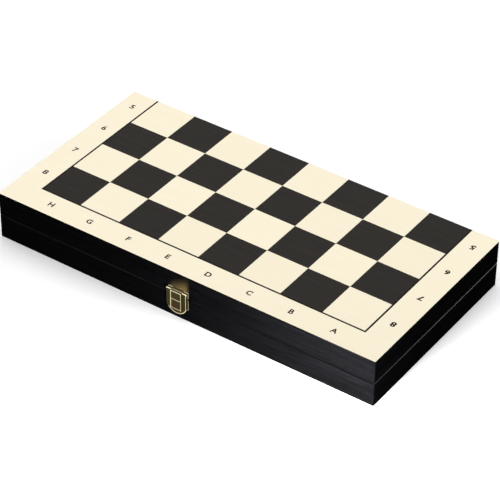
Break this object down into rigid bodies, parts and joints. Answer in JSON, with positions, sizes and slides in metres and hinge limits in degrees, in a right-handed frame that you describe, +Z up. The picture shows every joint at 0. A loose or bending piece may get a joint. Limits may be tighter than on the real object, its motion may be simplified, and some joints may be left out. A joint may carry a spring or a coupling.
{
  "type": "chess and backgammon board",
  "caption": "Folding wooden case with a chessboard outside and a backgammon board inside, two hinged trays and a flap clasp.",
  "frame": {"origin": "centre of the base the closed case lies on", "axes": "+X along the hinges to the right seen from the clasp, +Y to the hinge side, +Z up to the top playing face"},
  "size_m": [0.4, 0.2069, 0.048],
  "materials": {
    "black_lacquered_wood": "satin black lacquer",
    "maple_veneer": "satin clear varnish",
    "dark_veneer": "satin clear varnish over dark stain",
    "red_veneer": "satin clear varnish over red-brown wood",
    "brass": "polished and slightly aged"
  },
  "bodies": {
    "lower_tray": {"lower_dark_squares": "dark_veneer", "lower_light_squares": "maple_veneer", "lower_inlay_line": "dark_veneer", "lower_border_left": "maple_veneer", "lower_border_front": "maple_veneer", "lower_border_right": "maple_veneer", "lower_board_core": "black_lacquered_wood", "lower_ground": "maple_veneer", "lower_dark_points": "dark_veneer", "lower_red_points": "red_veneer", "lower_front_rail": "black_lacquered_wood", "lower_back_rail": "black_lacquered_wood", "lower_left_rail": "black_lacquered_wood", "lower_right_rail": "black_lacquered_wood", "lower_hinge_screws": "brass", "left_hinge_lower_leaf": "brass", "right_hinge_lower_leaf": "brass", "left_hinge_pin": "brass", "right_hinge_pin": "brass", "catch_plate": "brass", "catch_plate_nails": "brass"},
    "upper_tray": {"upper_dark_squares": "dark_veneer", "upper_light_squares": "maple_veneer", "upper_inlay_line": "dark_veneer", "upper_border_left": "maple_veneer", "upper_border_front": "maple_veneer", "upper_border_right": "maple_veneer", "upper_board_core": "black_lacquered_wood", "upper_ground": "maple_veneer", "upper_dark_points": "dark_veneer", "upper_red_points": "red_veneer", "upper_front_rail": "black_lacquered_wood", "upper_back_rail": "black_lacquered_wood", "upper_left_rail": "black_lacquered_wood", "upper_right_rail": "black_lacquered_wood", "upper_hinge_screws": "brass", "left_hinge_upper_leaf": "brass", "right_hinge_upper_leaf": "brass", "clasp_plate": "brass", "clasp_plate_nails": "brass", "clasp_pin": "brass"},
    "clasp_flap": {"clasp_flap": "brass"}
  },
  "joints": [
    {"name": "lid_hinge", "type": "hinge", "parent": "lower_tray", "child": "upper_tray", "pos_m": [0, 0.10025, 0.024], "axis": [-1, 0, 0], "range_deg": [0, 180]},
    {"name": "flap_hinge", "type": "hinge", "parent": "upper_tray", "child": "clasp_flap", "pos_m": [0, -0.10164, 0.03021], "axis": [-1, 0, 0], "range_deg": [0, 90]}
  ]
}
